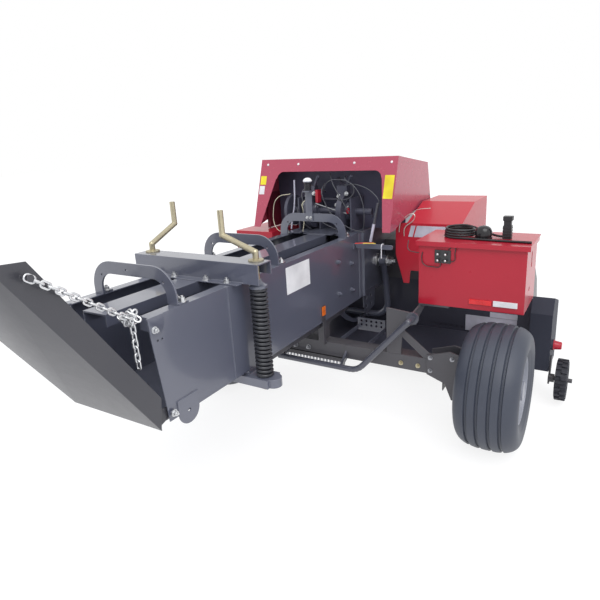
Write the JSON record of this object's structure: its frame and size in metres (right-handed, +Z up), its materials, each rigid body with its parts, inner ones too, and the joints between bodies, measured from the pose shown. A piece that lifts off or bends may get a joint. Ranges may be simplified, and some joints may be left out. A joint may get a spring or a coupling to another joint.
{
  "type": "small square baler",
  "caption": "Towed small square baler with a long bale chamber, side pickup, knotter hood, twine box, rear bale chute on chains and a swinging drawbar on a jack.",
  "frame": {"origin": "on the ground, in the middle of the machine's box", "axes": "+X right of travel, +Y forward along the travel, +Z up"},
  "size_m": [2.135, 4.5351, 1.395],
  "materials": {
    "slate_paint": "satin",
    "dark_paint": "satin",
    "black_paint": "satin",
    "red_paint": "gloss",
    "zinc": "satin",
    "galvanised": "satin",
    "spring_steel": "satin",
    "tyre_rubber": "matte",
    "rim_paint": "satin",
    "cast_dark": "matte",
    "bare_steel": "satin",
    "cable": "matte"
  },
  "bodies": {
    "frame": {"wall_right": "slate_paint", "wall_left": "slate_paint", "chamber_floor": "slate_paint", "chamber_top": "slate_paint", "top_rail": "slate_paint", "arches": "slate_paint", "arch_mast": "slate_paint", "cross_beam": "slate_paint", "low_beam": "slate_paint", "springs": "spring_steel", "cranks": "zinc", "chains": "galvanised", "chain_tails": "galvanised", "hood_stand": "dark_paint", "knotter": "cast_dark", "yoke_pins": "bare_steel", "feeder_cover": "red_paint", "feeder": "dark_paint", "left_shield": "red_paint", "twine_arm": "slate_paint", "twine_box": "red_paint", "twine_brake": "black_paint", "axle": "dark_paint", "box_stand": "dark_paint", "guard_tube": "dark_paint", "step_plate": "dark_paint", "pickup_shield": "black_paint", "pickup_pan": "dark_paint", "pickup_ends": "dark_paint", "strippers": "dark_paint", "windguard": "dark_paint", "gauge_arm": "dark_paint", "frame_rails": "dark_paint", "gearbox": "red_paint"},
    "chute": {"chute": "slate_paint"},
    "hood": {"hood": "red_paint"},
    "needles": {"needle_yoke": "dark_paint"},
    "plunger": {"plunger": "bare_steel"},
    "lid": {"twine_lid": "red_paint", "harness": "cable"},
    "wheel_right": {"right_tyre": "tyre_rubber", "right_rim": "rim_paint"},
    "wheel_left": {"left_tyre": "tyre_rubber", "left_rim": "rim_paint"},
    "reel": {"reel": "bare_steel"},
    "gauge_wheel": {"gauge_wheel": "tyre_rubber"},
    "drawbar": {"drawbar": "red_paint", "jack": "galvanised"},
    "jack_leg": {"jack_leg": "galvanised"},
    "flywheel": {"flywheel": "red_paint"}
  },
  "joints": [
    {"name": "wheel_right_spin", "type": "hinge", "parent": "frame", "child": "wheel_right", "pos_m": [0.7585, -0.53561, 0.308], "axis": [1, 0, 0], "continuous": true},
    {"name": "wheel_left_spin", "type": "hinge", "parent": "frame", "child": "wheel_left", "pos_m": [-0.9235, -0.53561, 0.308], "axis": [1, 0, 0], "continuous": true},
    {"name": "gauge_wheel_spin", "type": "hinge", "parent": "frame", "child": "gauge_wheel", "pos_m": [1.0135, 0.03039, 0.138], "axis": [1, 0, 0], "continuous": true},
    {"name": "reel_spin", "type": "hinge", "parent": "frame", "child": "reel", "pos_m": [0.3025, 0.90439, 0.318], "axis": [1, 0, 0], "continuous": true},
    {"name": "flywheel_spin", "type": "hinge", "parent": "frame", "child": "flywheel", "pos_m": [-0.3935, 1.40039, 0.741], "axis": [0, 1, 0], "continuous": true},
    {"name": "chute_hinge", "type": "hinge", "parent": "frame", "child": "chute", "pos_m": [-0.3935, -1.73061, 0.563], "axis": [1, 0, 0], "range_deg": [-16, 59], "deforming": ["chains"]},
    {"name": "hood_hinge", "type": "hinge", "parent": "frame", "child": "hood", "pos_m": [-0.3935, 0.48639, 1.115], "axis": [-1, 0, 0], "range_deg": [0, 70]},
    {"name": "lid_hinge", "type": "hinge", "parent": "frame", "child": "lid", "pos_m": [0.5935, -0.11161, 0.974], "axis": [-1, 0, 0], "range_deg": [0, 85]},
    {"name": "needle_swing", "type": "hinge", "parent": "frame", "child": "needles", "pos_m": [-0.3935, 0.15439, 0.72], "axis": [-1, 0, 0], "range_deg": [0, 65]},
    {"name": "plunger_slide", "type": "slide", "parent": "frame", "child": "plunger", "axis": [0, -1, 0], "range_m": [0, 0.45]},
    {"name": "drawbar_swing", "type": "hinge", "parent": "frame", "child": "drawbar", "pos_m": [-0.5435, 1.01439, 0.39], "axis": [0, 0, 1], "range_deg": [-5, 18]},
    {"name": "jack_slide", "type": "slide", "parent": "drawbar", "child": "jack_leg", "axis": [0, 0, 1], "range_m": [0, 0.24]}
  ]
}
